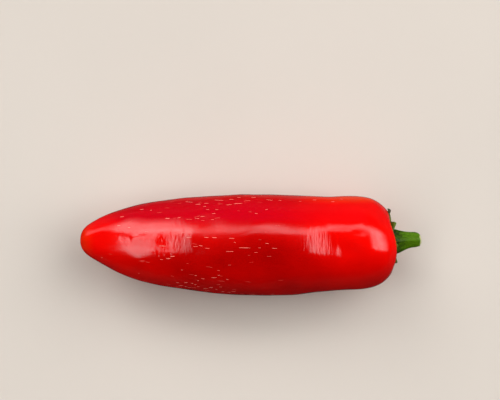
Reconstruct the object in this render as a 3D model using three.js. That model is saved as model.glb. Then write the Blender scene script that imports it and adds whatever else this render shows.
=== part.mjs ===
// A ripe red chilli pepper of the blunt jalapeno kind, as picked, lying on its side.
// It has three pieces: the pod, the green calyx that caps its stem end, and a stub of stem.
// Millimetres. +X runs along the pod from its tip to its stem, +Y is level across it and +Z is up.
// The origin is the middle of the flat spot that the pod rests on, under its weight.

import * as THREE from "three";

// The pod: [distance from the tip, radius] of the points that pull its outline, from the tip round the
// shoulder to the middle of the basin that the calyx sits in.
const POD_OUTLINE = [
  [0, 0],
  [0.7, 3.6],
  [4.5, 6.1],
  [11, 9.6],
  [20.5, 12.7],
  [34, 14.95],
  [50, 16.3],
  [66, 16.0],
  [79, 14.65],
  [88.6, 14.95],
  [93.8, 14.0],
  [96.9, 11.5],
  [98.8, 8.9],
  [98.0, 7.1],
  [96.0, 5.6],
  [95.5, 2.8],
  [95.5, 0],
];
const POD_SIDES = 64;
const POD_STEPS = 3; // rings to each stretch of the outline
const TIP_TO_REST = 55; // from the tip to the origin, along the pod
const AXIS_HEIGHT = 15.75; // of the pod's middle line above the surface it lies on
const BEND_STEP = 12.5; // between the values that pull the middle line aside
const BEND_SIDEWAYS = [1.3, 0.95, 0.4, -0.15, -0.15, -0.3, -0.35, 0.15, 0.6];
const BEND_UPWARDS = [1.7, 0.9, 0.2, 0, 0, 0, 0, -0.1, -0.2];

// The three soft lobes of the pod, which show from the belly on and are deepest at the shoulder.
const LOBES = 3;
const LOBE_ANGLE = THREE.MathUtils.degToRad(100);
const LOBE_DEPTH = 0.034; // as a share of the radius
const LOBES_START = 58; // from the tip
const LOBES_FULL = 94;

// The shoulder: its crest rises a little on each lobe and leans, as a slope, further out on the -Y side.
const SHOULDER_START = 87; // from the tip
const SHOULDER_END = 97;
const CREST_RISE = 0.4;
const CREST_START = 4.5; // from the middle line
const CREST_FULL = 8.5;
const SHOULDER_LEAN = 0.08;

// Slow dents of the skin: [height, waves round the pod, turn in radians along each mm, start in radians].
const DENTS = [
  [0.13, 2, 0.1, 0.4],
  [0.1, 3, -0.17, 2.0],
  [0.06, 5, 0.23, 1.1],
];
const DENTS_FULL = 8; // from the middle line: they fade out at the tip and in the basin

// The calyx: [height above the skin, radius], from under its middle out round its rim and back on top.
const CALYX_OUTLINE = [
  [0, 0],
  [0, 2.6],
  [0, 5],
  [0, 6.4],
  [0.05, 7.0],
  [0.35, 7.2],
  [0.65, 6.9],
  [0.75, 6.2],
  [0.95, 5.5],
  [1.2, 5.0],
  [1.5, 4.7],
  [1.6, 4.2],
  [1.6, 2],
  [1.6, 0],
];
const CALYX_SIDES = 96;
const CALYX_STEPS = 2;
const CALYX_OFF_POD = 0.35;
const CALYX_RIB = 0.3; // the height of the rib that runs out to each tooth
const CALYX_RIM = 0.6; // thickness at the rim
const TEETH_START = 4.8; // from the middle line
const TEETH_FULL = 7.1;
const CURL = 0.9; // the longest tooth curls this far off the shoulder at its tip
const CURL_START = 8.4; // from the middle line
const CURL_FULL = 11.2;

// Its teeth: [angle in degrees, length, lift off the shoulder, half width in degrees].
const TEETH = [
  [7, 4.0, -0.15, 9],
  [40, 1.6, 1.0, 12],
  [94, 0.6, 0.1, 10],
  [141, 1.1, 0.05, 12],
  [208, 0.8, 0, 12],
  [281, 1.5, 0.3, 13],
];

// The stem: [distance along it, radius], from its foot on the calyx to its snapped end.
const STEM_OUTLINE = [
  [0, 0],
  [0, 2.4],
  [-0.05, 4.1],
  [0.6, 4.3],
  [2.0, 3.6],
  [4.4, 2.85],
  [7.0, 2.3],
  [8.8, 2.35],
  [9.7, 2.2],
  [10.1, 1.6],
  [10.0, 0.8],
  [9.9, 0],
];
const STEM_SIDES = 40;
const STEM_STEPS = 2;
const STEM_SIDEWAYS = 0.6; // off the middle of the calyx
const STEM_OFF_CALYX = 0.3;
const STEM_FLARE = 0.85; // its foot spreads further on the -Y side
const STEM_FLARE_START = 3; // along it, where that begins to fade
const STEM_FLARE_END = 9;
const STEM_RIBS = 5;
const STEM_RIB_DEPTH = 0.06; // as a share of the radius
const STEM_RIB_ANGLE = THREE.MathUtils.degToRad(20);
const STEM_RIB_TWIST = 0.05; // radians for each mm along it
const STEM_BEND_UPWARDS = 0.009; // for each mm along it, squared
const STEM_BEND_SIDEWAYS = -0.004;

const SKIN = { color: 0xc80a05, roughness: 0.2, metalness: 0 };
const CALYX_LEAF = { color: 0x4c6414, roughness: 0.6, metalness: 0 };
const STEM_RIND = { color: 0x5c8a12, roughness: 0.45, metalness: 0 };

/** The uniform cubic B-spline that the numbers pull; at runs from 0 to three less than their count. */
function spline(pulls, at) {
  const span = Math.min(Math.max(Math.floor(at), 0), pulls.length - 4);
  const t = at - span;
  const weights = [
    (1 - t) ** 3,
    3 * t ** 3 - 6 * t ** 2 + 4,
    -3 * t ** 3 + 3 * t ** 2 + 3 * t + 1,
    t ** 3,
  ];
  return weights.reduce((sum, w, k) => sum + (w * pulls[span + k]) / 6, 0);
}

/** A value that changes smoothly along the pod, from numbers that pull it every BEND_STEP. */
function alongPod(pulls, distance) {
  const ends = [2 * pulls[0] - pulls[1], ...pulls, 2 * pulls.at(-1) - pulls.at(-2)];
  return spline(ends, distance / BEND_STEP);
}

/** The points of a smooth outline that meets the axis squarely at both ends. */
function outline(pulls, steps) {
  const [, second] = pulls;
  const secondLast = pulls.at(-2);
  const all = [[second[0], -second[1]], ...pulls, [secondLast[0], -secondLast[1]]];
  const distances = all.map(([distance]) => distance);
  const radii = all.map(([, radius]) => radius);
  const count = (pulls.length - 1) * steps;
  return Array.from({ length: count + 1 }, (_, i) => [
    spline(distances, i / steps),
    i % count === 0 ? 0 : spline(radii, i / steps),
  ]);
}

/** A solid turned about +X from [distance, radius] points. */
function turned(points, sides) {
  const profile = points.map(([distance, radius]) => new THREE.Vector2(radius, distance));
  return new THREE.LatheGeometry(profile, sides).rotateZ(-Math.PI / 2);
}

/** Moves each point of a turned solid to shape(distance, radius, angle), with its angle from +Y to +Z. */
function reshape(geometry, shape) {
  const position = geometry.getAttribute("position");
  for (let i = 0; i < position.count; i += 1) {
    const radius = Math.hypot(position.getY(i), position.getZ(i));
    const angle = Math.atan2(position.getZ(i), position.getY(i));
    position.setXYZ(i, ...shape(position.getX(i), radius, angle));
  }
  geometry.computeVertexNormals();
  return geometry;
}

/** 0 before the start, 1 after the end, and a smooth rise between them. */
const rise = THREE.MathUtils.smoothstep;

/** How far a slow dent or swelling moves the pod's skin out. */
function dent(distance, radius, angle) {
  const waves = DENTS.map(
    ([height, count, turn, start]) => height * Math.sin(count * angle + turn * distance + start),
  );
  return waves.reduce((sum, wave) => sum + wave, 0) * rise(radius, 0, DENTS_FULL);
}

/** Where a point of the pod's turned outline goes on the real pod. */
function podPoint(distance, radius, angle) {
  const lobe = Math.cos(LOBES * (angle - LOBE_ANGLE));
  const swell = 1 + LOBE_DEPTH * lobe * rise(distance, LOBES_START, LOBES_FULL);
  const out = radius * swell + dent(distance, radius, angle);
  const shoulder = rise(distance, SHOULDER_START, SHOULDER_END);
  const crest = CREST_RISE * lobe * rise(radius, CREST_START, CREST_FULL);
  const lean = SHOULDER_LEAN * out * Math.cos(angle);
  const x = distance + shoulder * (crest - lean) - TIP_TO_REST;
  const y = out * Math.cos(angle) + alongPod(BEND_SIDEWAYS, distance);
  const z = out * Math.sin(angle) + alongPod(BEND_UPWARDS, distance) + AXIS_HEIGHT;
  return [x, y, Math.max(z, 0)]; // it lies on the flat spot that this leaves
}

/** What the teeth come to at an angle: [length, lift, share of a whole tooth]. */
function toothAt(angle) {
  return TEETH.reduce(
    ([length, lift, whole], [degrees, longest, highest, halfWidth]) => {
      const turn = angle - THREE.MathUtils.degToRad(degrees);
      const off = Math.atan2(Math.sin(turn), Math.cos(turn)) / THREE.MathUtils.degToRad(halfWidth);
      const share = Math.exp(-(Math.abs(off) ** 1.5));
      return [length + longest * share, lift + highest * share, whole + share];
    },
    [0, 0, 0],
  );
}

/** The stem end of the pod's turned outline, from its middle out: [distance from the tip, radius]. */
const STEM_END = outline(POD_OUTLINE, POD_STEPS).reverse();

/** How far from the tip the skin of the stem end is, at a radius. */
function skinAt(radius) {
  const next = Math.max(STEM_END.findIndex(([, r]) => r > radius), 1);
  const [[near, nearRadius], [far, farRadius]] = STEM_END.slice(next - 1, next + 1);
  return THREE.MathUtils.mapLinear(radius, nearRadius, farRadius, near, far);
}

/** Where a point of the calyx's turned outline goes: it follows the skin that it lies on. */
function calyxPoint(height, radius, angle) {
  const [length, lift, share] = toothAt(angle);
  const outer = rise(radius, TEETH_START, TEETH_FULL);
  const rib = CALYX_RIB * share * outer * rise(height, 0, CALYX_RIM);
  const out = radius + length * outer;
  const [x, y, z] = podPoint(skinAt(out), out, angle);
  const curl = CURL * rise(out, CURL_START, CURL_FULL);
  return [x + CALYX_OFF_POD + height + rib + lift * outer * outer + curl, y, z];
}

/** Where a point of the stem's turned outline goes: soft ribs that twist a little, on a slight bend. */
function stemPoint(distance, radius, angle) {
  const rib = Math.cos(STEM_RIBS * (angle - STEM_RIB_ANGLE) + STEM_RIB_TWIST * distance);
  const out = radius * (1 + STEM_RIB_DEPTH * rib);
  const side = Math.max(-Math.cos(angle), 0) ** 2 * rise(radius, 0, STEM_FLARE_START);
  const flare = STEM_FLARE * side * (1 - rise(distance, STEM_FLARE_START, STEM_FLARE_END));
  const y = out * Math.cos(angle) - flare + STEM_BEND_SIDEWAYS * distance ** 2;
  const z = out * Math.sin(angle) + STEM_BEND_UPWARDS * distance ** 2;
  return [distance, y, z];
}

/** One named piece with its own finish. */
function piece(name, geometry, finish) {
  const mesh = new THREE.Mesh(geometry, new THREE.MeshStandardMaterial(finish));
  mesh.name = name;
  return mesh;
}

const podForm = turned(outline(POD_OUTLINE, POD_STEPS), POD_SIDES);
const pod = piece("pod", reshape(podForm, podPoint), SKIN);

const calyxForm = turned(outline(CALYX_OUTLINE, CALYX_STEPS), CALYX_SIDES);
const calyx = piece("calyx", reshape(calyxForm, calyxPoint), CALYX_LEAF);

const stemForm = turned(outline(STEM_OUTLINE, STEM_STEPS), STEM_SIDES);
const stem = piece("stem", reshape(stemForm, stemPoint), STEM_RIND);

// The stem stands square on the middle of the calyx, which leans with the shoulder.
const [footX, footY, footZ] = podPoint(skinAt(0), 0, 0);
const calyxTop = CALYX_OUTLINE.at(-1)[0];
stem.position.set(
  footX + CALYX_OFF_POD + calyxTop + STEM_OFF_CALYX,
  footY + STEM_SIDEWAYS,
  footZ,
);
stem.rotation.z = Math.atan(SHOULDER_LEAN);

const pepper = new THREE.Group();
pepper.add(pod, calyx, stem);

export default pepper;
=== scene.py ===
"""The looks of a ripe red chilli pepper of the blunt jalapeno kind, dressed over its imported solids.

Sizes are in millimetres and repeat the part's own; points turn into metres where a mesh is made.
+X runs along the pod from its tip to its stem, +Y is level across it and +Z is up.
"""

from __future__ import annotations

import logging
import math
from dataclasses import dataclass
from enum import Enum
from typing import Iterable, Sequence

import bpy
import numpy as np
from bpy.types import Material, Node, NodeSocket, NodeTree, Object
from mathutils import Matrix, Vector
from mathutils.bvhtree import BVHTree

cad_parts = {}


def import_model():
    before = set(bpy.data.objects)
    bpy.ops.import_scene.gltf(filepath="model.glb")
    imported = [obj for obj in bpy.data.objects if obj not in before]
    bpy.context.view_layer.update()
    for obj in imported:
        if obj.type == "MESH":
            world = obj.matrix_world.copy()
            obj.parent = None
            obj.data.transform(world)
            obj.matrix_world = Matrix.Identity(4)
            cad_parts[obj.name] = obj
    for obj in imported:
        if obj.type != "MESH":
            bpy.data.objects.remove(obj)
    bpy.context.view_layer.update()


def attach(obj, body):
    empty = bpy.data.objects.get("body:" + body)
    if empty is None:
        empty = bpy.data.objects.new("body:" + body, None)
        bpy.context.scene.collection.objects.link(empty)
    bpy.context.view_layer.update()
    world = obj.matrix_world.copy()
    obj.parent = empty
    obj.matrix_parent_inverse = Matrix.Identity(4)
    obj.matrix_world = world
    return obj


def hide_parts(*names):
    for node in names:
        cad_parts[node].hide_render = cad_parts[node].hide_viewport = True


MM = 0.001
LOG = logging.getLogger("chilli_pepper")

Array = np.ndarray
Span = tuple[float, float]
Points = Sequence[Span]


class Slot(Enum):
    """The record's material slots."""

    SKIN = "skin"
    CALYX = "calyx"
    STEM = "stem"


# Helpers for numbers and curves


def linear(colour: str) -> tuple[float, float, float, float]:
    """Turns an sRGB hex colour into linear RGBA.

    Args:
        colour: six hex digits after a hash sign.

    Returns:
        Red, green, blue and an alpha of 1.
    """
    parts = [int(colour[k : k + 2], 16) / 255 for k in (1, 3, 5)]
    r, g, b = (c / 12.92 if c <= 0.04045 else ((c + 0.055) / 1.055) ** 2.4 for c in parts)
    return r, g, b, 1.0


def rise(x: Array, start: float, end: float) -> Array:
    """A smooth step: 0 before start, 1 after end.

    Args:
        x: where it is asked for.
        start: where the rise begins.
        end: where it ends.

    Returns:
        Values from 0 to 1.
    """
    t = np.clip((np.asarray(x, float) - start) / (end - start), 0.0, 1.0)
    return t * t * (3 - 2 * t)


def spline(pulls: Sequence[float], at: Array) -> Array:
    """The uniform cubic B-spline that some numbers pull.

    Args:
        pulls: the numbers.
        at: places on it, from 0 to three less than their count.

    Returns:
        Its values there.
    """
    known = np.asarray(pulls, float)
    span = np.clip(np.floor(at).astype(int), 0, len(known) - 4)
    t = at - span
    weights = (
        (1 - t) ** 3,
        3 * t**3 - 6 * t**2 + 4,
        -3 * t**3 + 3 * t**2 + 3 * t + 1,
        t**3,
    )
    return sum(w * known[span + k] for k, w in enumerate(weights)) / 6


def outline(pulls: Points, steps: int) -> Array:
    """A smooth outline that meets the axis squarely at both ends.

    Args:
        pulls: [distance, radius] of the points that pull it.
        steps: points to each stretch.

    Returns:
        Its [distance, radius] points, whose first and last radius are 0.
    """
    second, before_last = pulls[1], pulls[-2]
    every = [(second[0], -second[1]), *pulls, (before_last[0], -before_last[1])]
    distances, radii = zip(*every)
    at = np.arange((len(pulls) - 1) * steps + 1) / steps
    points = np.column_stack([spline(distances, at), spline(radii, at)])
    points[[0, -1], 1] = 0.0
    return points


@dataclass(frozen=True)
class SoftWaves:
    """A rippled field round and along a turned form, with a mean square of about 1."""

    seed: int  # of its random draw
    count: int  # how many waves it adds up
    turns: tuple[int, int]  # least and most waves round the form
    lengths: Span  # least and most length of a wave along the form

    def __call__(self, distance: Array, angle: Array) -> Array:
        """Gives the field's height.

        Args:
            distance: along the form.
            angle: round it.

        Returns:
            The height there.
        """
        draw = np.random.default_rng(self.seed)
        around = draw.integers(self.turns[0], self.turns[1] + 1, self.count)
        around = around * draw.choice((-1, 1), self.count)
        along = 2 * math.pi / draw.uniform(*self.lengths, self.count)
        start = draw.uniform(0, 2 * math.pi, self.count)
        waves = (np.sin(a * angle + b * distance + c) for a, b, c in zip(around, along, start))
        return sum(waves) / math.sqrt(self.count / 2)


# Helpers for meshes and materials


def turned_faces(rings: int, sides: int) -> list[tuple[int, ...]]:
    """The faces of a closed form of rings between two points, facing out.

    Args:
        rings: how many rings it has.
        sides: points to each ring.

    Returns:
        The corners of each face, for points listed as first point, rings, last point.
    """
    here = np.arange(sides)
    after = (here + 1) % sides
    first = [(0, 1 + int(b), 1 + int(a)) for a, b in zip(here, after)]
    last_ring = 1 + (rings - 1) * sides
    end = 1 + rings * sides
    last = [(last_ring + int(a), last_ring + int(b), end) for a, b in zip(here, after)]
    walls = []
    for k in range(rings - 1):
        low = 1 + k * sides
        high = low + sides
        walls += [
            (low + int(a), low + int(b), high + int(b), high + int(a))
            for a, b in zip(here, after)
        ]
    return first + walls + last


def closed_form(name: str, places: Array) -> Object:
    """Makes a smooth closed mesh object from rings of points.

    Args:
        name: of the piece.
        places: points in millimetres, by ring and side; each end ring is one point repeated.

    Returns:
        The object, linked to the scene, in metres.
    """
    points = [places[0, 0], *places[1:-1].reshape(-1, 3), places[-1, 0]]
    faces = turned_faces(places.shape[0] - 2, places.shape[1])
    return smooth_piece(name, np.array(points), faces)


def smooth_piece(name: str, points: Array, faces: Iterable[tuple[int, ...]]) -> Object:
    """Makes a smooth-shaded mesh object.

    Args:
        name: of the piece.
        points: in millimetres.
        faces: the corners of each.

    Returns:
        The object, linked to the scene, in metres.
    """
    mesh = bpy.data.meshes.new(name)
    mesh.from_pydata((points * MM).tolist(), [], list(faces))
    mesh.shade_smooth()
    piece = bpy.data.objects.new(name, mesh)
    bpy.context.scene.collection.objects.link(piece)
    return piece


def connect(node: Node, inputs: dict) -> None:
    """Sets or links the inputs of a node.

    Args:
        node: whose inputs they are.
        inputs: for each by name or place, a value, a socket, or a node, whose first output in use
            is linked.
    """
    for name, value in inputs.items():
        if isinstance(value, Node):
            value = next(socket for socket in value.outputs if socket.enabled)
        if isinstance(value, NodeSocket):
            node.id_data.links.new(value, node.inputs[name])
        else:
            node.inputs[name].default_value = value


def add_node(tree: NodeTree, kind: str, inputs: dict | None = None, **settings: object) -> Node:
    """Adds a shader node with its settings and links.

    Args:
        tree: the node tree that it goes into.
        kind: the node's type, without the ShaderNode that each begins with.
        inputs: what connect takes.
        settings: the node's own properties.

    Returns:
        The node.
    """
    node = tree.nodes.new("ShaderNode" + kind)
    for name, value in settings.items():
        setattr(node, name, value)
    connect(node, inputs or {})
    return node


def ranged(value: object, source: Span = (0.0, 1.0), target: Span = (0.0, 1.0)) -> dict:
    """What a node takes to bring a value from one span to another."""
    names = ("From Min", "From Max", "To Min", "To Max")
    return {"Value": value, **dict(zip(names, (*source, *target)))}


def new_material(name: str) -> tuple[Material, NodeTree, Node, NodeSocket]:
    """Starts a node material.

    Args:
        name: of the material.

    Returns:
        The material, its node tree, its shader, and the place on the piece that it colours.
    """
    material = bpy.data.materials.new(name)
    material.use_nodes = True
    tree = material.node_tree
    tree.nodes.clear()
    shader = add_node(tree, "BsdfPrincipled")
    add_node(tree, "OutputMaterial", {"Surface": shader})
    return material, tree, shader, add_node(tree, "TexCoord").outputs["Object"]


def mark(name: str, piece: Object, values: Array) -> None:
    """Stores a number for each point of a piece, which its finish reads by name."""
    attribute = piece.data.attributes.new(name, "FLOAT", "POINT")
    attribute.data.foreach_set("value", np.asarray(values, np.float32))


def mark_rings(name: str, piece: Object, values: Array) -> None:
    """Stores a number for each point of a closed form, from values by ring and side."""
    mark(name, piece, np.array([values[0, 0], *values[1:-1].ravel(), values[-1, 0]]))


def join_frame(piece: Object, slot: Slot, material: Material, *nodes: str) -> None:
    """Dresses a piece, ties it to the frame and reports it.

    Args:
        piece: the new piece.
        slot: whose finish it shows; it is not used.
        material: its own finish.
        nodes: the solids that it stands for.
    """
    piece.data.materials.append(material)
    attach(piece, "root")
    if nodes:
        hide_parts(*nodes)
    LOG.info("%s: %d faces", piece.name, len(piece.data.polygons))


# Finishes


@dataclass(frozen=True)
class Grain:
    """A pattern in a finish, by the size of its grain in millimetres."""

    size: float
    detail: float = 2.0
    warp: float = 0.0
    rough: float = 0.5

    def inputs(self, place: NodeSocket | Node) -> dict:
        """What a node takes to draw it over a place."""
        return {
            "Vector": place,
            "Scale": 1 / (self.size * MM),
            "Detail": self.detail,
            "Distortion": self.warp,
            "Roughness": self.rough,
        }


@dataclass(frozen=True)
class WaxySkin:
    """The cuticle of a ripe pod: clear wax over scarlet flesh, so it shines like wet lacquer."""

    flesh: str = "#F00400"
    # deep: a deeper red, which also carries the painted shade
    deep: str = "#9E0000"
    # crimson: the colour of the painted sky reflection
    crimson: str = "#C20012"
    # orange: the colour of the painted warm reflected light
    orange: str = "#F03A08"
    blotches: Grain = Grain(11.0, detail=3.0)  # the flesh ripens in patches a fingertip wide
    blotch_range: Span = (0.3, 0.7)
    blotch_share: float = 0.12
    peel: Grain = Grain(0.9)  # the cells under the wax are finer, and are drawn this coarse to show
    peel_height: float = 0.006
    rings: Grain = Grain(1.5, detail=1.0)  # faint rings where the pod swelled faster than its skin
    ring_height: float = 0.012
    wrinkles: Grain = Grain(0.9, warp=0.6)  # finer folds where the skin has puckered
    wrinkle_height: float = 0.21
    rumples: Grain = Grain(1.3, warp=0.4)  # and softer, shorter ones towards the tip
    rumple_height: float = 0.16
    ring_squeeze: float = 0.12  # rings and wrinkles are drawn out round the pod by this
    rumple_squeeze: float = 0.4
    roughness: float = 0.13
    ior: float = 1.48  # plant wax
    glow: float = 0.12  # light that goes a little way into the flesh
    glow_mm: float = 2.0
    glow_reach: tuple[float, float, float] = (1.0, 0.15, 0.05)  # red goes furthest

    def material(self) -> Material:
        """Builds the finish.

        Returns:
            Its material.
        """
        material, tree, shader, place = new_material("waxy_pepper_skin")
        told = {
            name: add_node(tree, "Attribute", attribute_name=name).outputs["Fac"]
            for name in ("deep_red_and_painted_shade", "painted_warm_light", "painted_sky_reflection", "wrinkled", "rumpled")
        }
        ringwise, short = (
            add_node(tree, "Mapping", {"Vector": place, "Scale": (1.0, squeeze, squeeze)})
            for squeeze in (self.ring_squeeze, self.rumple_squeeze)
        )
        blotches = add_node(tree, "TexNoise", self.blotches.inputs(place))
        more_or_less = (-self.blotch_share, self.blotch_share)
        patchy = add_node(tree, "MapRange", ranged(blotches, self.blotch_range, more_or_less))
        # The deeper red, partly painted shade, made patchy where the flesh ripened unevenly.
        depth = add_node(
            tree, "Math", {0: told["deep_red_and_painted_shade"], 1: patchy}, operation="ADD", use_clamp=True
        )
        colour = linear(self.flesh)
        # Mixes in the deeper red with its painted shade, then the crimson painted reflection and the
        # orange painted warm light.
        for share, tint in (
            (depth, self.deep),
            (told["painted_sky_reflection"], self.crimson),
            (told["painted_warm_light"], self.orange),
        ):
            mix = {"Factor": share, "A": colour, "B": linear(tint)}
            colour = add_node(tree, "Mix", mix, data_type="RGBA")
        folds, soft_folds = (
            add_node(
                tree,
                "Math",
                {0: add_node(tree, "TexNoise", grain.inputs(way)), 1: told[where]},
                operation="MULTIPLY",
            )
            for grain, way, where in (
                (self.wrinkles, ringwise, "wrinkled"),
                (self.rumples, short, "rumpled"),
            )
        )
        normal = {}
        for height, reach in (
            (folds, self.wrinkle_height),
            (soft_folds, self.rumple_height),
            (add_node(tree, "TexNoise", self.rings.inputs(ringwise)), self.ring_height),
            (add_node(tree, "TexNoise", self.peel.inputs(place)), self.peel_height),
        ):
            bump = {"Height": height, "Distance": reach * MM, **normal}
            normal = {"Normal": add_node(tree, "Bump", bump)}
        surface = {
            "Base Color": colour,
            "Roughness": self.roughness,
            "IOR": self.ior,
            "Subsurface Weight": self.glow,
            "Subsurface Radius": self.glow_reach,
            "Subsurface Scale": self.glow_mm * MM,
            **normal,
        }
        connect(shader, surface)
        return material


@dataclass(frozen=True)
class Cork:
    """Healed skin in the stretch marks: pale and matt where it is thick, red where it is thin."""

    pale: str = "#FFBCAA"
    brown: str = "#EE7A66"
    thin: str = "#DC1408"
    grain: Grain = Grain(0.5, detail=4.0)
    roughness: float = 0.45
    thin_roughness: float = 0.15

    def material(self) -> Material:
        """Builds the finish.

        Returns:
            Its material.
        """
        material, tree, shader, place = new_material("corky_stretch_mark")
        thick = add_node(tree, "Attribute", attribute_name="thickness").outputs["Fac"]
        grain = add_node(tree, "TexNoise", self.grain.inputs(place))
        speckle = {"Factor": grain, "A": linear(self.pale), "B": linear(self.brown)}
        cork = add_node(tree, "Mix", speckle, data_type="RGBA")
        mix = {"Factor": thick, "A": linear(self.thin), "B": cork}
        colour = add_node(tree, "Mix", mix, data_type="RGBA")
        from_thin = (self.thin_roughness, self.roughness)
        matt = add_node(tree, "MapRange", ranged(thick, target=from_thin))
        connect(shader, {"Base Color": colour, "Roughness": matt})
        return material


@dataclass(frozen=True)
class CalyxLeaf:
    """Leathery green leaf, dull and faintly veined, dried dark along the tips of its teeth."""

    green: str = "#5F7C1E"
    shaded: str = "#34480C"
    dried: str = "#2B2E0A"
    veins: Grain = Grain(0.7, detail=4.0, rough=0.6)
    vein_height: float = 0.2
    vein_strength: float = 0.5
    roughness: float = 0.6
    shine: float = 0.3

    def material(self) -> Material:
        """Builds the finish.

        Returns:
            Its material.
        """
        material, tree, shader, place = new_material("leathery_calyx")
        dryness = add_node(tree, "Attribute", attribute_name="dryness").outputs["Fac"]
        veins = add_node(tree, "TexNoise", self.veins.inputs(place))
        veined = {"Factor": veins, "A": linear(self.shaded), "B": linear(self.green)}
        leaf = add_node(tree, "Mix", veined, data_type="RGBA")
        mix = {"Factor": dryness, "A": leaf, "B": linear(self.dried)}
        relief = {
            "Height": veins,
            "Strength": self.vein_strength,
            "Distance": self.vein_height * MM,
        }
        surface = {
            "Base Color": add_node(tree, "Mix", mix, data_type="RGBA"),
            "Normal": add_node(tree, "Bump", relief),
            "Roughness": self.roughness,
            "Specular IOR Level": self.shine,
        }
        connect(shader, surface)
        return material


@dataclass(frozen=True)
class StemRind:
    """Fresh green rind over woody stalk: satin, streaked along its fibres, dry where it snapped,
    drawn darker towards its foot and darker on its lower side as painted shade.
    """

    fresh: str = "#4C7400"
    # dark: the green of the foot and of the painted shade on the lower side
    dark: str = "#1C3000"
    pale: str = "#BDBB8A"
    fibres: Grain = Grain(0.35, detail=3.0)
    fibre_squeeze: float = 0.12  # they are drawn out along the stalk by this
    fibre_share: float = 0.45
    pebbles: Grain = Grain(0.4)  # the rind's fine pebbling, drawn about twice as coarse to show
    grain_range: Span = (0.58, 0.86)
    streak_range: Span = (-0.4, 0.45)
    grain_height: float = 0.15
    grain_strength: float = 0.5
    roughness: float = 0.5
    shine: float = 0.18
    glow: float = 0.1
    glow_mm: float = 0.6

    def material(self) -> Material:
        """Builds the finish.

        Returns:
            Its material.
        """
        material, tree, shader, place = new_material("fresh_green_rind")
        # The share of fresh green: less towards the foot, and less on the lower side as painted
        # shade.
        fresh, snapped = (
            add_node(tree, "Attribute", attribute_name=name).outputs["Fac"]
            for name in ("lit_green_share", "snapped")
        )
        squeezed = {"Vector": place, "Scale": (self.fibre_squeeze, 1.0, 1.0)}
        lengthwise = add_node(tree, "Mapping", squeezed)
        fibres = add_node(tree, "TexNoise", self.fibres.inputs(lengthwise))
        pebbles = add_node(tree, "TexNoise", self.pebbles.inputs(place))
        grain = add_node(
            tree, "Math", {0: fibres, 1: self.fibre_share, 2: pebbles}, operation="MULTIPLY_ADD"
        )
        streak = add_node(tree, "MapRange", ranged(grain, self.grain_range, self.streak_range))
        share = add_node(tree, "Math", {0: fresh, 1: streak}, operation="SUBTRACT", use_clamp=True)
        streaked = {"Factor": share, "A": linear(self.dark), "B": linear(self.fresh)}
        green = add_node(tree, "Mix", streaked, data_type="RGBA")
        mix = {"Factor": snapped, "A": green, "B": linear(self.pale)}
        relief = {
            "Height": grain,
            "Strength": self.grain_strength,
            "Distance": self.grain_height * MM,
        }
        surface = {
            "Base Color": add_node(tree, "Mix", mix, data_type="RGBA"),
            "Normal": add_node(tree, "Bump", relief),
            "Roughness": self.roughness,
            "Specular IOR Level": self.shine,
            "Subsurface Weight": self.glow,
            "Subsurface Scale": self.glow_mm * MM,
        }
        connect(shader, surface)
        return material


@dataclass(frozen=True)
class PaleFloor:
    """Matt warm white sheet, sprayed, with no grain to see."""

    colour: str = "#CFC6BC"
    clouds: Grain = Grain(90.0)
    cloud_shades: Span = (0.96, 1.04)
    roughness: float = 0.9

    def material(self) -> Material:
        """Builds the finish.

        Returns:
            Its material.
        """
        material, tree, shader, place = new_material("pale_floor")
        clouds = add_node(tree, "TexNoise", self.clouds.inputs(place))
        shade = add_node(tree, "MapRange", ranged(clouds, target=self.cloud_shades))
        clouded = {0: linear(self.colour)[:3], "Scale": shade}
        colour = add_node(tree, "VectorMath", clouded, operation="SCALE")
        connect(shader, {"Base Color": colour, "Roughness": self.roughness})
        return material


# The pieces


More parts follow.
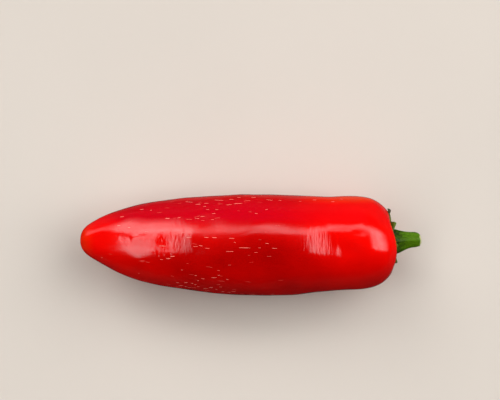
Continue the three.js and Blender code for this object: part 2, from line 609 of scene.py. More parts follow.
@dataclass(frozen=True)
class SkinRedAndPaintedLight:
    """How the red changes over the pod, with painted light and shade in it: shares, and the spans in
    which they rise.
    """

    # A deeper red round the belly and the waist.
    belly: float = 0.72
    belly_x: float = -8.0
    belly_half: float = 30.0
    waist: float = 0.2
    waist_x: float = 2.0
    waist_half: float = 14.0
    # Painted light and shade in the red: paler on the +Y side, which faces the light, at the -Y rim
    # and on the tip's +Y half, and deeper on the -Y side towards the stem.
    paler_top: float = 0.42
    paler_top_y: Span = (-1.0, 6.0)
    paler_foot: float = 0.28
    paler_foot_y: Span = (-3.0, -10.0)
    paler_front: float = 0.5
    paler_front_x: Span = (-19.0, -27.0)
    paler_front_y: Span = (-3.8, -1.2)
    back: float = 0.42
    back_x: Span = (0.0, 25.0)
    back_y: Span = (1.0, -12.0)
    # Painted warm reflected light, drawn orange, at the tip and along the +Y rim towards the stem.
    orange_tip: float = 0.35
    orange_tip_x: Span = (-49.0, -54.0)
    orange_shoulder_x: Span = (10.0, 32.0)
    orange_shoulder_y: Span = (12.4, 15.2)
    # A painted reflection of a bluish sky, drawn crimson, along the +Y flank and fading towards the
    # stem.
    flank_x: Span = (-52.0, -38.0)
    flank_y: Span = (5.0, 9.0)
    flank_end_y: Span = (15.5, 13.0)
    flank_fade: float = 0.8
    flank_fade_x: Span = (-6.0, 26.0)

    def told(self, x: Array, y: Array) -> dict[str, Array]:
        """Works out what the skin's finish reads.

        Args:
            x: along the pod.
            y: across it.

        Returns:
            How much deeper the red is, partly as painted shade, and how much painted warm light and
            painted sky reflection it shows.
        """
        belly = self.belly * np.exp(-(((x - self.belly_x) / self.belly_half) ** 4))
        waist = self.waist * np.exp(-(((x - self.waist_x) / self.waist_half) ** 2))
        top = 1 - self.paler_top * rise(y, *self.paler_top_y)
        foot = 1 - self.paler_foot * rise(y, *self.paler_foot_y)
        at_front = rise(x, *self.paler_front_x) * rise(y, *self.paler_front_y)
        front = 1 - self.paler_front * at_front
        back = self.back * rise(x, *self.back_x) * rise(y, *self.back_y)
        tip = self.orange_tip * rise(x, *self.orange_tip_x)
        shoulder = rise(x, *self.orange_shoulder_x) * rise(y, *self.orange_shoulder_y)
        flank = rise(x, *self.flank_x) * rise(y, *self.flank_y) * rise(y, *self.flank_end_y)
        return {
            "deep_red_and_painted_shade": (belly + waist) * top * foot * front + back,
            "painted_warm_light": np.maximum(tip, shoulder),
            "painted_sky_reflection": flank * (1 - self.flank_fade * rise(x, *self.flank_fade_x)),
        }


@dataclass
class Pod:
    """The red fruit: a turned outline with lobes, dents and a bend, lying on a small flat spot."""

    pulls: Points = (
        (0, 0), (0.7, 3.6), (4.5, 6.1), (11, 9.6), (20.5, 12.7), (34, 14.95), (50, 16.3),
        (66, 16.0), (79, 14.65), (88.6, 14.95), (93.8, 14.0), (96.9, 11.5), (98.8, 8.9),
        (98.0, 7.1), (96.0, 5.6), (95.5, 2.8), (95.5, 0),
    )
    tip_to_rest: float = 55.0
    axis_height: float = 15.75
    bend_step: float = 12.5
    bend_sideways: Sequence[float] = (1.3, 0.95, 0.4, -0.15, -0.15, -0.3, -0.35, 0.15, 0.6)
    bend_upwards: Sequence[float] = (1.7, 0.9, 0.2, 0, 0, 0, 0, -0.1, -0.2)
    lobes: int = 3
    lobe_angle: float = math.radians(100)
    lobe_depth: float = 0.034
    lobes_start: float = 58.0
    lobes_full: float = 94.0
    shoulder_start: float = 87.0
    shoulder_end: float = 97.0
    crest_rise: float = 0.4
    crest_start: float = 4.5
    crest_full: float = 8.5
    shoulder_lean: float = 0.08
    dents: Sequence[tuple[float, int, float, float]] = (
        (0.13, 2, 0.1, 0.4),
        (0.1, 3, -0.17, 2.0),
        (0.06, 5, 0.23, 1.1),
    )
    dents_full: float = 8.0
    steps: int = 11  # rings to each stretch of the outline
    sides: int = 300
    swells: SoftWaves = SoftWaves(7, 26, (1, 9), (8.0, 24.0))  # they bend the reflections
    swell_height: float = 0.035
    drawn_in: float = 0.06  # the skin stands this much lower, for the marks that stand proud of it
    lobe_turn: float = math.radians(-20)  # the lobes twist this much before they reach the crest
    lobe_turn_start: float = 86.0
    lobe_turn_end: float = 96.0
    # Shallow dips of the upper side, as [start, end, recovery, y, half width, depth].
    dips: Sequence[tuple[float, float, float, float, float, float]] = (
        (15.2, 22.7, 12.8, 0.9, 5.5, 0.97),
        (24.2, 27.0, 8.5, -1.8, 2.6, 0.42),
        (28.5, 30.7, 6.0, 3.4, 1.7, 0.2),
        (-31.1, -26.5, 5.0, 1.0, 2.3, 0.5),
        (-17.0, -9.0, 16.0, 4.0, 7.0, 0.16),
        (-22.8, -19.6, 7.0, 0.2, 4.0, -0.13),
        (-24.6, -22.2, 3.0, 0.8, 2.2, 0.2),
        (-38.4, -36.4, 3.0, 1.7, 0.8, -0.13),
    )
    # Puckered patches of the upper side: [x, y, half length, half width, strength].
    puckers: Sequence[tuple[float, float, float, float, float]] = (
        (18.6, 0.8, 4.0, 4.8, 1.0),
        (24.8, -1.7, 3.4, 3.2, 0.35),
    )
    # Softer rumples, in the same way.
    rumples: Sequence[tuple[float, float, float, float, float]] = (
        (-25.0, 0.2, 6.5, 4.0, 1.0),
        (-37.5, 2.0, 4.5, 3.0, 0.6),
        (-30.0, 6.5, 12.0, 2.5, 0.3),
    )
    red_and_painted_light: SkinRedAndPaintedLight = SkinRedAndPaintedLight()

    def along(self, pulls: Sequence[float], distance: Array) -> Array:
        """A value that changes smoothly along the pod.

        Args:
            pulls: the numbers that pull it, bend_step apart.
            distance: from the tip.

        Returns:
            Its values there.
        """
        ends = [2 * pulls[0] - pulls[1], *pulls, 2 * pulls[-1] - pulls[-2]]
        return spline(ends, distance / self.bend_step)

    def place(self, distance: Array, radius: Array, angle: Array) -> Array:
        """Where a point of the turned outline goes on the real pod.

        Args:
            distance: from the tip.
            radius: from the middle line.
            angle: from +Y towards +Z.

        Returns:
            Points in millimetres.
        """
        twisted = 1 - rise(distance, self.lobe_turn_start, self.lobe_turn_end)
        lobe = np.cos(self.lobes * (angle - self.lobe_angle - self.lobe_turn * twisted))
        lobed = self.lobe_depth * rise(distance, self.lobes_start, self.lobes_full)
        swell = 1 + lobed * lobe
        waves = sum(h * np.sin(n * angle + t * distance + s) for h, n, t, s in self.dents)
        uneven = waves + self.swell_height * self.swells(distance, angle) - self.drawn_in
        out = radius * swell + uneven * rise(radius, 0, self.dents_full)
        out = out - self.dip(distance - self.tip_to_rest, out * np.cos(angle)) * (np.sin(angle) > 0)
        shoulder = rise(distance, self.shoulder_start, self.shoulder_end)
        crest = self.crest_rise * lobe * rise(radius, self.crest_start, self.crest_full)
        lean = self.shoulder_lean * out * np.cos(angle)
        x = distance + shoulder * (crest - lean) - self.tip_to_rest
        aside = self.along(self.bend_sideways, distance) + lobed * twisted * radius
        y = out * np.cos(angle) + aside
        z = out * np.sin(angle) + self.along(self.bend_upwards, distance) + self.axis_height
        return np.stack([x, y, np.maximum(z, 0.0)], -1)

    def dip(self, x: Array, y: Array) -> Array:
        """How far the upper side is dipped.

        Args:
            x: along the pod.
            y: across it.

        Returns:
            The depth there.
        """
        return sum(
            depth
            * rise(x, start, end)
            * (1 - rise(x, end, end + recovery))
            * np.exp(-(((y - at_y) / wide) ** 2))
            for start, end, recovery, at_y, wide, depth in self.dips
        )

    def skin_at(self, radius: Array) -> Array:
        """Finds the skin of the stem end, inside the crest.

        Args:
            radius: from the middle line.

        Returns:
            Its distance from the tip.
        """
        stem_end = outline(self.pulls, self.steps)[::-1]
        inner = stem_end[: int(stem_end[:, 1].argmax()) + 1]
        return np.interp(radius, inner[:, 1], inner[:, 0])

    def build(self) -> Object:
        """Makes the skin as one closed form.

        Returns:
            The skin.
        """
        points = outline(self.pulls, self.steps)
        angles = np.arange(self.sides) * 2 * math.pi / self.sides
        places = self.place(points[:, :1], points[:, 1:], angles[None, :])
        skin = closed_form("pod_skin", places)
        x, y, z = np.moveaxis(places, -1, 0)
        told = self.red_and_painted_light.told(x, y)
        for name, patches in (("wrinkled", self.puckers), ("rumpled", self.rumples)):
            told[name] = (z > self.axis_height) * sum(
                much * np.exp(-(((x - at_x) / long) ** 4) - ((y - at_y) / wide) ** 4)
                for at_x, at_y, long, wide, much in patches
            )
        for name, values in told.items():
            mark_rings(name, skin, values)
        join_frame(skin, Slot.SKIN, WaxySkin().material(), "pod")
        return skin


@dataclass(frozen=True)
class SeenMark:
    """A stretch mark by where the photograph shows it, in its columns and rows."""

    start: float
    end: float
    row: float
    slope: float = 0.0  # in rows, from start to end
    width: float = 0.3  # in mm
    thick: float = 0.75  # from 0, thin and red, to 1, thick and pale


@dataclass(frozen=True)
class Scatter:
    """Marks drawn at random over one side of the pod, between their least and most."""

    count: int
    angles: Span  # round the pod, in degrees
    lengths: Span
    widths: Span
    thicks: Span  # of the cork, from 0 to 1


@dataclass
class StretchMarks:
    """Fine corky scars along the pod, where its flesh swelled faster than its skin."""

    height: float = 0.045
    sunk: float = 0.03
    rows: int = 14  # of faces along each
    columns: int = 4
    blunt: int = 5  # the higher, the blunter its ends
    least: float = 0.05  # of its width is left at an end
    fullness: float = 0.8
    bow: float = 0.03
    ragged: float = 0.16
    wander: float = 0.12
    askew: float = 0.12
    seed: int = 21
    scatters: Sequence[Scatter] = (
        Scatter(150, (192, 348), (1.0, 3.4), (0.1, 0.2), (0.4, 0.9)),
        Scatter(50, (10, 170), (0.7, 2.2), (0.08, 0.14), (0.15, 0.4)),
    )
    thickest_at: float = 38.0  # from the tip
    spread: float = 14.0
    reach: Span = (10.0, 84.0)
    off_the_floor: float = 0.12  # the skin that the pod rests on shows no marks
    slimness: float = 0.8  # of the seen marks' widths, which the photograph's blur widens
    # The marks that the photograph shows, each as the fields of a SeenMark in order.
    seen: Sequence[Sequence[float]] = (
        # Below the band of gloss
        (238, 251, 247.9, 0.3, 0.31, 0.65), (225.5, 234, 251.4, 0.18, 0.2),
        (228.6, 234.7, 238.3, 0.12, 0.24), (233.6, 236, 242.4, 0.72, 0.19),
        (258, 261, 247.9, 0.12, 0.17), (254, 258, 252.5, 0, 0.22, 0.45),
        (265, 269, 243.5, 0.36, 0.25), (271.8, 277.5, 248.3, 0.12, 0.24),
        (212, 217, 237.6, 0.12, 0.25, 1.0), (204, 208.7, 237.5, 0.18, 0.22, 1.0),
        (186, 191.5, 237.6, 0.12, 0.24), (193, 198, 246.5, -0.36, 0.22),
        (198.7, 203, 245.8, 0.48, 0.2), (205, 210, 248.4, 0.12, 0.22, 0.5),
        (158.7, 166, 246, 0.48, 0.22, 1.0), (170, 175, 256.5, -0.48, 0.26, 1.0),
        (166, 170.7, 258.6, 0, 0.3, 1.0), (160, 163, 259.5, 0.3, 0.2),
        (140.5, 143.8, 261.7, 0.18, 0.19, 0.4),
        # Along the far edge
        (233.5, 243, 203.6, -0.48, 0.27, 0.9), (214, 224, 200.3, 0.6, 0.25),
        (229, 233.5, 199.5, 0.12, 0.25), (237, 241, 197.5, 0.12, 0.22),
        (244, 251, 200.5, 0.72, 0.25, 0.45), (251, 256, 197.5, 0.12, 0.24, 0.95),
        (226, 232, 204.8, -0.54, 0.22), (266, 273, 200, 0.72, 0.25, 0.95),
        (278.5, 281.5, 200.5, 0, 0.25), (185, 193, 202, 0.84, 0.25, 1.0),
        (195, 201, 204.5, 0.48, 0.22), (204, 209, 203.4, 0, 0.24),
        (203, 206.5, 206.4, 0, 0.24, 0.55), (215, 218.6, 209.5, 0, 0.24, 0.5),
        (206, 209.5, 209.5, 0, 0.2, 0.55), (211.7, 215.6, 213.5, -0.3, 0.25),
        (265, 268, 209.5, -0.6, 0.22), (254.6, 258, 213.5, 0, 0.26),
        # Over the gloss, towards the tip
        (200, 205, 216.5, -0.54, 0.2), (194.5, 199.5, 218.5, 0.12, 0.21),
        (186, 192.6, 219.3, 0.24, 0.21, 0.4), (201, 205, 220.6, 0, 0.2, 0.5),
        (211, 214, 219.6, -0.18, 0.2), (165, 170, 218.4, 0, 0.31, 1.0),
        (177, 181, 217.6, -1.32, 0.2), (139.6, 143.8, 209.5, 0, 0.19),
        (150, 152, 210.3, -0.48, 0.24), (120, 124, 216.7, -0.6, 0.28, 1.0),
        (117, 120.6, 225.5, 0, 0.23, 1.0), (127.6, 130.5, 227.5, 0, 0.24, 1.0),
        # Along the near edge
        (217, 220, 270.5, 0, 0.21, 0.45), (194.5, 197, 275.5, 0, 0.22),
        (211, 217, 277.6, 0, 0.25, 0.9), (217.6, 220, 275.3, 0, 0.21),
        (201, 205, 278.5, 0.48, 0.19, 0.4), (197, 199, 280.7, -0.36, 0.2),
        (226, 229, 279.6, 0.24, 0.19, 0.5), (176, 179, 282.6, 0, 0.17), (184, 188, 282.6, 0, 0.17),
        (191, 193.5, 283.4, 0.36, 0.19), (194, 196.6, 284.6, 0.24, 0.19, 0.9),
        (178.5, 183, 285.6, 0, 0.23, 1.0), (184.6, 187.6, 286.6, 0.18, 0.19),
        (196.6, 199.6, 286.6, 0.18, 0.21), (188, 191, 287.6, 0.12, 0.16),
        (203, 208, 288.5, 0, 0.22, 0.95), (208.7, 213.2, 287.5, -0.24, 0.26, 1.0),
        (215, 218, 289.5, 0.18, 0.17), (219, 222.5, 287, 0.18, 0.17), (203, 207, 291.8, 0, 0.21),
        (221, 225, 291.6, 0, 0.21), (227, 231, 292.2, -0.12, 0.21), (231, 236, 291.5, 0, 0.19),
        (240, 244, 294, 0, 0.21), (248, 256, 294.2, 0, 0.21), (270, 275, 294.2, 0, 0.21),
        # Towards the shoulder
        (299, 301.5, 201.3, 0, 0.25), (312.5, 316.5, 200, 0, 0.26, 1.0), (331, 335, 201.7, 0, 0.25),
        (340, 343.5, 199, 0, 0.21),
        # Single ones
        (101, 103, 257.6, 0, 0.16), (138, 139.8, 273.3, 0, 0.16), (181, 183, 270, 0, 0.17),
    )

    def build(self, skin: Object, pod: Pod, view: "View") -> None:
        """Lays all the marks on the skin as one piece.

        Args:
            skin: the finished skin.
            pod: its form.
            view: the photograph's camera, by which the seen marks are placed.
        """
        self.points: list[Array] = []
        self.thickness: list[Array] = []
        self.faces: list[tuple[int, ...]] = []
        self.count = 0
        self.draw = np.random.default_rng(self.seed)
        corners = [v.co / MM for v in skin.data.vertices]
        self.tree = BVHTree.FromPolygons(corners, [p.vertices[:] for p in skin.data.polygons])
        for fields in self.seen:
            self.add_seen(SeenMark(*fields), view)
        for scatter in self.scatters:
            self.add_scattered(scatter, pod)
        piece = smooth_piece("stretch_marks", np.concatenate(self.points), self.faces)
        mark("thickness", piece, np.concatenate(self.thickness))
        join_frame(piece, Slot.SKIN, Cork().material())

    def add_seen(self, seen: SeenMark, view: "View") -> None:
        """Lays one mark where the photograph shows it.

        Args:
            seen: the mark.
            view: the photograph's camera.
        """
        eye = Vector(view.eye())
        rows = (seen.row - seen.slope / 2, seen.row + seen.slope / 2)
        ends = []
        for column, row in zip((seen.start, seen.end), rows):
            hit, *_ = self.tree.ray_cast(eye, Vector(view.ray(column, row)))
            if hit is None:
                return
            ends.append(hit)
        self.lay(ends[0], ends[1], seen.width * self.slimness, seen.thick)

    def add_scattered(self, scatter: Scatter, pod: Pod) -> None:
        """Scatters marks over a side of the pod, thickest round the belly.

        Args:
            scatter: how many, and their least and most.
            pod: the form that they lie on.
        """
        radii = outline(pod.pulls, pod.steps)
        outside = radii[: int(radii[:, 0].argmax())]
        for _ in range(scatter.count):
            distance = float(np.clip(self.draw.normal(self.thickest_at, self.spread), *self.reach))
            angle = math.radians(self.draw.uniform(*scatter.angles))
            length = self.draw.uniform(*scatter.lengths)
            radius = np.interp(distance + np.array([0, length]), outside[:, 0], outside[:, 1])
            turn = self.draw.normal(0, self.askew) * length / radius[0]
            start = pod.place(np.array(distance), radius[0], np.array(angle))
            end = pod.place(np.array(distance + length), radius[1], np.array(angle + turn))
            width, thick = self.draw.uniform(*scatter.widths), self.draw.uniform(*scatter.thicks)
            if min(start[2], end[2]) > self.off_the_floor:
                self.lay(Vector(start), Vector(end), width, thick)

    def lay(self, start: Vector, end: Vector, width: float, thick: float) -> None:
        """Lays one lens-shaped mark along the skin between two points.

        Args:
            start: one end.
            end: the other.
            width: at its widest.
            thick: thickness of its cork, from 0 to 1.
        """
        middle, normal, *_ = self.tree.find_nearest((start + end) / 2)
        along = end - start
        half = along.length / 2
        along = (along - normal * along.dot(normal)).normalized()
        across = normal.cross(along)
        bow = self.draw.normal(0, self.bow) * half
        ragged = self.draw.normal(0, self.ragged, self.rows + 1)
        wander = self.draw.normal(0, self.wander, self.rows + 1) * width
        first = self.count
        points = []
        thickness = []
        for i in range(self.rows + 1):
            u = -1 + 2 * i / self.rows
            taper = max(1 - abs(u) ** self.blunt, self.least) ** self.fullness
            reach = width / 2 * taper * (1 + ragged[i])
            centre = bow * (1 - u * u) + wander[i] * taper
            for j in range(self.columns + 1):
                v = -1 + 2 * j / self.columns
                aim = middle + along * (u * half) + across * (centre + v * reach)
                near, local, *_ = self.tree.find_nearest(aim)
                edge = j in (0, self.columns) or i in (0, self.rows)
                lift = -self.sunk if edge else self.height * (1 - v * v) * taper
                points.append(np.array(near + local * lift))
                thickness.append(thick * (1 - v * v) * taper)
        wide = self.columns + 1
        for i in range(self.rows):
            for j in range(self.columns):
                a = first + i * wide + j
                self.faces.append((a, a + wide, a + wide + 1, a + 1))
        low = [first + j for j in range(wide)]
        high = [first + self.rows * wide + j for j in range(wide)]
        left = [first + i * wide for i in range(1, self.rows)]
        right = [first + i * wide + self.columns for i in range(1, self.rows)]
        self.faces.append(tuple(low + right + high[::-1] + left[::-1]))
        self.points.append(np.array(points))
        self.thickness.append(np.array(thickness))
        self.count += len(points)


@dataclass
class Calyx:
    """The fused sepals that cap the stem end, with short uneven teeth."""

    pulls: Points = (
        (0, 0), (0, 2.6), (0, 5), (0, 6.4), (0.05, 7.0), (0.35, 7.2), (0.65, 6.9), (0.75, 6.2),
        (0.95, 5.5), (1.2, 5.0), (1.5, 4.7), (1.6, 4.2), (1.6, 2), (1.6, 0),
    )
    # Its teeth: [angle in degrees, length, lift off the shoulder, half width in degrees].
    teeth: Sequence[tuple[float, float, float, float]] = (
        (7, 4.0, -1.15, 9),
        (40, 1.6, 1.0, 12),
        (94, 0.6, 0.1, 10),
        (141, 1.15, 0.22, 12),
        (208, 0.8, 0, 12),
        (281, 1.5, 0.3, 13),
    )
    curl: float = 1.5  # the longest tooth curls this far off the shoulder at its tip
    curl_start: float = 9.2
    curl_full: float = 10.7
    press_start: float = 6.0  # a tooth with no lift is pressed onto the skin from here
    press_full: float = 7.8
    off_pod: float = 0.1  # it has grown onto the skin, so it stands closer than the solids' gap
    rib_height: float = 0.3
    veins: SoftWaves = SoftWaves(5, 12, (9, 26), (6.0, 12.0))
    vein_height: float = 0.04
    vein_waver: float = 0.06  # of the rim
    dry_out: Span = (8.2, 10.6)  # the teeth have dried towards their tips
    dry_below: Span = (7.2, 8.4)  # and sooner on the lower side
    below: Span = (0.7, 0.95)
    rim: float = 0.6
    teeth_start: float = 4.8
    teeth_full: float = 7.1
    steps: int = 6
    sides: int = 240

    def tooth_at(self, angle: Array) -> tuple[Array, Array, Array]:
        """Works out what the teeth come to.

        Args:
            angle: round the calyx.

        Returns:
            Their length, lift and share of a whole tooth there.
        """
        length, lift, whole = (np.zeros_like(angle) for _ in range(3))
        for degrees, longest, highest, half in self.teeth:
            off = (angle - math.radians(degrees) + math.pi) % (2 * math.pi) - math.pi
            share = np.exp(-(np.abs(off / math.radians(half)) ** 1.5))
            length += longest * share
            lift += highest * share
            whole += share
        return length, lift, whole

    def build(self, pod: Pod) -> None:
        """Makes the cap so that it follows the pod's skin.

        Args:
            pod: the form that it lies on.
        """
        points = outline(self.pulls, self.steps)
        height, radius = points[:, :1], points[:, 1:]
        angle = (np.arange(self.sides) * 2 * math.pi / self.sides)[None, :]
        length, lift, share = self.tooth_at(angle)
        outer = rise(radius, self.teeth_start, self.teeth_full)
        on_top = rise(height, 0, self.rim)
        rib = self.rib_height * share * outer * on_top
        veins = self.veins(radius, angle)
        out = radius + length * outer + self.vein_waver * veins * outer
        places = pod.place(pod.skin_at(out), out, angle + 0 * out)
        curl = self.curl * rise(out, self.curl_start, self.curl_full)
        vein = self.vein_height * veins * on_top * outer
        pressed = np.minimum(lift, 0) * rise(out, self.press_start, self.press_full)
        lifted = np.maximum(lift, 0) * outer**2
        places[..., 0] += self.off_pod + height + rib + lifted + pressed + curl + vein
        piece = closed_form("calyx_cap", places)
        under = rise(-np.sin(angle), *self.below) * rise(out, *self.dry_below)
        mark_rings("dryness", piece, np.maximum(rise(out, *self.dry_out), under) * outer)
        join_frame(piece, Slot.CALYX, CalyxLeaf().material(), "calyx")


@dataclass
class Stem:
    """The stub of green stalk, flared at its foot, ribbed and snapped off."""

    pulls: Points = (
        (0, 0), (0, 2.4), (-0.05, 4.1), (0.6, 4.3), (2.0, 3.6), (4.4, 2.85), (7.0, 2.3), (8.5, 2.4),
        (9.5, 2.2), (10.25, 1.75), (10.65, 0.9), (10.6, 0),
    )
    sideways: float = 0.6
    off_calyx: float = -0.1
    flare: float = 0.85  # its foot spreads further on the -Y side
    flare_start: float = 3.0
    flare_end: float = 9.0
    ribs: int = 5
    rib_depth: float = 0.06
    rib_angle: float = math.radians(20)
    rib_twist: float = 0.05
    fibres: SoftWaves = SoftWaves(3, 16, (12, 34), (7.0, 20.0))
    fibre_depth: float = 0.008
    torn: SoftWaves = SoftWaves(9, 14, (1, 7), (0.8, 2.5))
    torn_height: float = 0.09
    torn_along: Span = (9.2, 10.1)
    torn_within: float = 1.5
    dark_foot_along: Span = (0.5, 7.5)
    shaded: float = 0.25  # painted shade: its lower side is drawn this much darker
    pale_along: Span = (9.9, 10.25)
    bend_upwards: float = 0.009
    bend_sideways: float = -0.004
    steps: int = 9
    sides: int = 160

    def build(self, pod: Pod, calyx: Calyx) -> None:
        """Makes the stub square on the middle of the calyx.

        Args:
            pod: whose shoulder gives the lean.
            calyx: that it stands on.
        """
        points = outline(self.pulls, self.steps)
        distance, radius = points[:, :1], points[:, 1:]
        angle = (np.arange(self.sides) * 2 * math.pi / self.sides)[None, :]
        rib = np.cos(self.ribs * (angle - self.rib_angle) + self.rib_twist * distance)
        fibres = self.fibres(distance, angle)
        out = radius * (1 + self.rib_depth * rib + self.fibre_depth * fibres)
        end = rise(distance, *self.torn_along) * rise(radius, 0, self.torn_within)
        x = distance + self.torn_height * self.torn(radius, angle) * end
        side = np.maximum(-np.cos(angle), 0) ** 2 * rise(radius, 0, self.flare_start)
        flare = self.flare * side * (1 - rise(distance, self.flare_start, self.flare_end))
        y = out * np.cos(angle) - flare + self.bend_sideways * distance**2
        z = out * np.sin(angle) + self.bend_upwards * distance**2
        lean = math.atan(pod.shoulder_lean)
        foot = pod.place(pod.skin_at(np.array(0.0)), np.array(0.0), np.array(0.0))
        top = calyx.off_pod + calyx.pulls[-1][0] + self.off_calyx
        places = np.stack(
            [
                foot[0] + top + x * math.cos(lean) - y * math.sin(lean),
                foot[1] + self.sideways + x * math.sin(lean) + y * math.cos(lean),
                foot[2] + z,
            ],
            -1,
        )
        piece = closed_form("stem_stub", places)
        wide = distance + 0 * angle
        # Painted shade: the lower side is drawn darker.
        bright = 1 - self.shaded * (1 - np.sin(angle))
        mark_rings("lit_green_share", piece, bright * rise(wide, *self.dark_foot_along))
        mark_rings("snapped", piece, rise(wide, *self.pale_along))
        join_frame(piece, Slot.STEM, StemRind().material(), "stem")


# The studio


@dataclass
class View:
    """The photograph's camera: straight above the pod, a forearm away."""

    pod: Pod
    columns: int = 500
    rows: int = 400
    scale: float = 0.317  # mm to a pixel at the height of the pod's middle line
    tip_column: float = 80.7
    axis_row: float = 244.0
    distance: float = 320.0  # above the middle line
    sensor: float = 36.0
    nearest: float = 10.0  # that it sees

    def eye(self) -> tuple[float, float, float]:
        """Works out where the camera stands.

        Returns:
            Its place in millimetres.
        """
        right = (self.columns / 2 - self.tip_column) * self.scale - self.pod.tip_to_rest
        up = (self.axis_row - self.rows / 2) * self.scale
        return right, up, self.distance + self.pod.axis_height

    def ray(self, column: float, row: float) -> tuple[float, float, float]:
        """Works out the direction in which it sees a point of the photograph.

        Args:
            column: of the point.
            row: of the point.

        Returns:
            The direction, of any length.
        """
        right = (column - self.columns / 2) * self.scale
        up = (self.rows / 2 - row) * self.scale
        return right, up, -self.distance

    def build(self) -> None:
        """Sets the camera up."""
        lens = bpy.data.cameras.new("camera")
        lens.sensor_width = self.sensor
        lens.lens = self.sensor * self.distance / (self.columns * self.scale)
        lens.clip_start = self.nearest * MM
        camera = bpy.data.objects.new("camera", lens)
        camera.location = Vector(self.eye()) * MM
        bpy.context.scene.collection.objects.link(camera)
        bpy.context.scene.camera = camera


@dataclass(frozen=True)
class Glow:
    """A soft-edged bright field of the studio's dome, in degrees from straight overhead."""

    left: float
    right: float
    bottom: float
    top: float
    soft: tuple[float, float, float, float]  # of its left, right, bottom and top edges
    strength: float
    colour: str = "#FFFFFF"

    def add_to(self, total: Node, tree: NodeTree, chart: Node) -> Node:
        """Adds the field to the dome's light.

        Args:
            total: the light so far.
            tree: the dome's nodes.
            chart: gives the angles from overhead along X and Y.

        Returns:
            The light with this field added.
        """
        share = self.strength
        for axis, at, soft in (
            ("X", self.left, self.soft[0]),
            ("X", self.right, -self.soft[1]),
            ("Y", self.bottom, self.soft[2]),
            ("Y", self.top, -self.soft[3]),
        ):
            span = (math.radians(at - soft / 2), math.radians(at + soft / 2))
            across = ranged(chart.outputs[axis], span)
            edge = add_node(tree, "MapRange", across, interpolation_type="SMOOTHSTEP")
            share = add_node(tree, "Math", {0: share, 1: edge}, operation="MULTIPLY")
        tinted = {0: linear(self.colour)[:3], "Scale": share}
        lit = add_node(tree, "VectorMath", tinted, operation="SCALE")
        return add_node(tree, "VectorMath", {0: total, 1: lit}, operation="ADD")


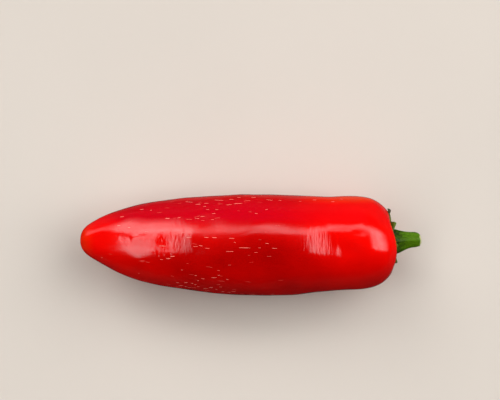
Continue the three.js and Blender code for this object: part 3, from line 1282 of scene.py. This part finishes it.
@dataclass
class Studio:
    """A pale floor under a dome of soft light that is dark straight overhead."""

    floor_size: float = 20000.0
    floor_drop: float = 0.05
    ambient: float = 0.008
    backdrop: str = "#E9E1D6"
    glows: Sequence[Glow] = (
        Glow(-46, -40, 29, 50, (4, 4, 6, 32), 3.9),
        Glow(-40, -24, 27, 58, (4, 6, 6, 44), 4.9),
        Glow(-24, -16.5, 22, 60, (6, 3, 6, 42), 4.8),
        Glow(-16.5, -12, 29.5, 50, (3, 3, 5, 18), 4.6),
        Glow(-42, -37, -27, 17, (4, 4, 12, 5), 3.8),
        Glow(-37, -32, -38, 20, (4, 2, 8, 5), 4.2),
        Glow(-32, -28.5, -23, 20, (2, 3, 8, 5), 4.2),
        Glow(-29, -17, -15, 22, (3, 4, 7, 5), 2.4),
        Glow(-78, -46, 34, 54, (20, 4, 8, 20), 1.5),
        Glow(-12.5, -6, 31, 42, (3, 4, 5, 16), 2.2),
        Glow(-5, 4, 23, 43, (4, 4, 4, 12), 2.5),
        Glow(4, 11, 26, 46, (4, 4, 4, 14), 2.9),
        Glow(11, 17, 27.5, 40, (4, 4, 4, 12), 2.5),
        Glow(17, 28, 24, 40, (4, 6, 4, 12), 2.7),
        Glow(28, 34, 24, 40, (6, 8, 4, 12), 3.8),
        Glow(21, 34, -12, 24, (14, 8, 6, 4), 3.7),
        Glow(34, 66, -12, 40, (8, 36, 8, 14), 4.1),
        Glow(-110, 25, 58, 102, (30, 30, 12, 12), 0.05, "#B0B8FF"),
    )
    bounce: float = 0.045  # the floor as the skin mirrors it, faintly
    shaded_bounce: float = 0.01  # and where the pod shades it
    rim_bounce: float = 0.3  # and straight below, on the lit side
    horizon: Span = (0.02, -0.1)  # heights of a direction, from 1 straight up to -1
    straight_below: Span = (-0.7, -1.0)
    lit_side: tuple[float, float, float] = (0.56, 0.83, 0.0)
    lit_from: Span = (-0.05, 0.25)
    cloud_scale: float = 5.0  # the fields are a little uneven, as a sky seen past leaves
    cloud_detail: float = 3.0
    cloud_range: Span = (0.35, 0.65)
    cloud_light: Span = (0.72, 1.2)
    key_place: tuple[float, float, float] = (260.0, 380.0, 430.0)
    key_size: float = 320.0
    key_watts: float = 0.55

    def build(self) -> None:
        """Makes the floor, the backdrop and the dome."""
        half = self.floor_size / 2
        corners = np.array([(-half, -half), (half, -half), (half, half), (-half, half)])
        below = np.column_stack([corners, np.full(4, -self.floor_drop)])
        floor = smooth_piece("floor", below, [(0, 1, 2, 3)])
        floor.data.materials.append(PaleFloor().material())
        floor.visible_glossy = False
        self.build_key()
        self.build_dome()
        bpy.context.scene.view_settings.view_transform = "Standard"
        bpy.context.scene.view_settings.look = "None"

    def build_key(self) -> None:
        """Hangs a large soft box behind the pod, which the skin doesn't mirror."""
        lamp = bpy.data.lights.new("soft_box", "AREA")
        lamp.size = self.key_size * MM
        lamp.energy = self.key_watts
        box = bpy.data.objects.new("soft_box", lamp)
        box.location = Vector(self.key_place) * MM
        box.rotation_euler = box.location.to_track_quat("Z", "Y").to_euler()
        box.visible_glossy = False
        box.visible_camera = False
        bpy.context.scene.collection.objects.link(box)

    def build_dome(self) -> None:
        """Paints the dome's light by direction alone."""
        world = bpy.data.worlds.new("studio_dome")
        bpy.context.scene.world = world
        world.use_nodes = True
        tree = world.node_tree
        tree.nodes.clear()
        way = add_node(tree, "TexCoord").outputs["Generated"]
        apart = add_node(tree, "SeparateXYZ", {0: way})
        tilt = add_node(tree, "Math", {0: apart.outputs["Z"]}, operation="ARCCOSINE")
        level = add_node(tree, "VectorMath", {0: way, 1: (1.0, 1.0, 0.0)}, operation="MULTIPLY")
        flat = add_node(tree, "VectorMath", {0: level}, operation="NORMALIZE")
        spread = add_node(tree, "VectorMath", {0: flat, "Scale": tilt}, operation="SCALE")
        chart = add_node(tree, "SeparateXYZ", {0: spread})
        total = add_node(tree, "CombineXYZ", dict.fromkeys(range(3), self.ambient))
        total = self.add_floor_light(total, tree, way, apart.outputs["Z"])
        for glow in self.glows:
            total = glow.add_to(total, tree, chart)
        cloudy = {"Vector": way, "Scale": self.cloud_scale, "Detail": self.cloud_detail}
        clouds = add_node(tree, "TexNoise", cloudy)
        dapple = add_node(tree, "MapRange", ranged(clouds, self.cloud_range, self.cloud_light))
        dappled = add_node(tree, "VectorMath", {0: total, "Scale": dapple}, operation="SCALE")
        seen = add_node(tree, "LightPath").outputs["Is Camera Ray"]
        mix = {"Factor": seen, "A": dappled, "B": linear(self.backdrop)}
        shown = add_node(tree, "Mix", mix, data_type="RGBA")
        background = add_node(tree, "Background", {"Color": shown})
        add_node(tree, "OutputWorld", {"Surface": background})

    def add_floor_light(
        self, total: Node, tree: NodeTree, way: NodeSocket, height: NodeSocket
    ) -> Node:
        """Adds what the floor throws back, which is less where the pod shades it.

        Args:
            total: the light so far.
            tree: the dome's nodes.
            way: the direction looked in.
            height: its Z.

        Returns:
            The light with the floor's added.
        """
        below = add_node(tree, "MapRange", ranged(height, self.horizon))
        to_rim = (0.0, self.rim_bounce)
        steep = add_node(tree, "MapRange", ranged(height, self.straight_below, to_rim))
        across = add_node(tree, "VectorMath", {0: way, 1: self.lit_side}, operation="DOT_PRODUCT")
        lit = add_node(tree, "MapRange", ranged(across, self.lit_from))
        from_shade = (self.shaded_bounce, self.bounce)
        level = add_node(tree, "MapRange", ranged(lit, target=from_shade))
        all_round = add_node(tree, "Math", {0: below, 1: level}, operation="MULTIPLY")
        share = add_node(tree, "Math", {0: steep, 1: lit, 2: all_round}, operation="MULTIPLY_ADD")
        warmed = {0: linear(PaleFloor().colour)[:3], "Scale": share}
        thrown = add_node(tree, "VectorMath", warmed, operation="SCALE")
        return add_node(tree, "VectorMath", {0: total, 1: thrown}, operation="ADD")


def main() -> None:
    """Builds the pepper and its studio in order."""
    logging.basicConfig(level=logging.INFO, format="%(message)s")
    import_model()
    pod = Pod()
    view = View(pod)
    view.build()
    Studio().build()
    skin = pod.build()
    calyx = Calyx()
    calyx.build(pod)
    Stem().build(pod, calyx)
    StretchMarks().build(skin, pod, view)


if __name__ == "__main__":
    main()
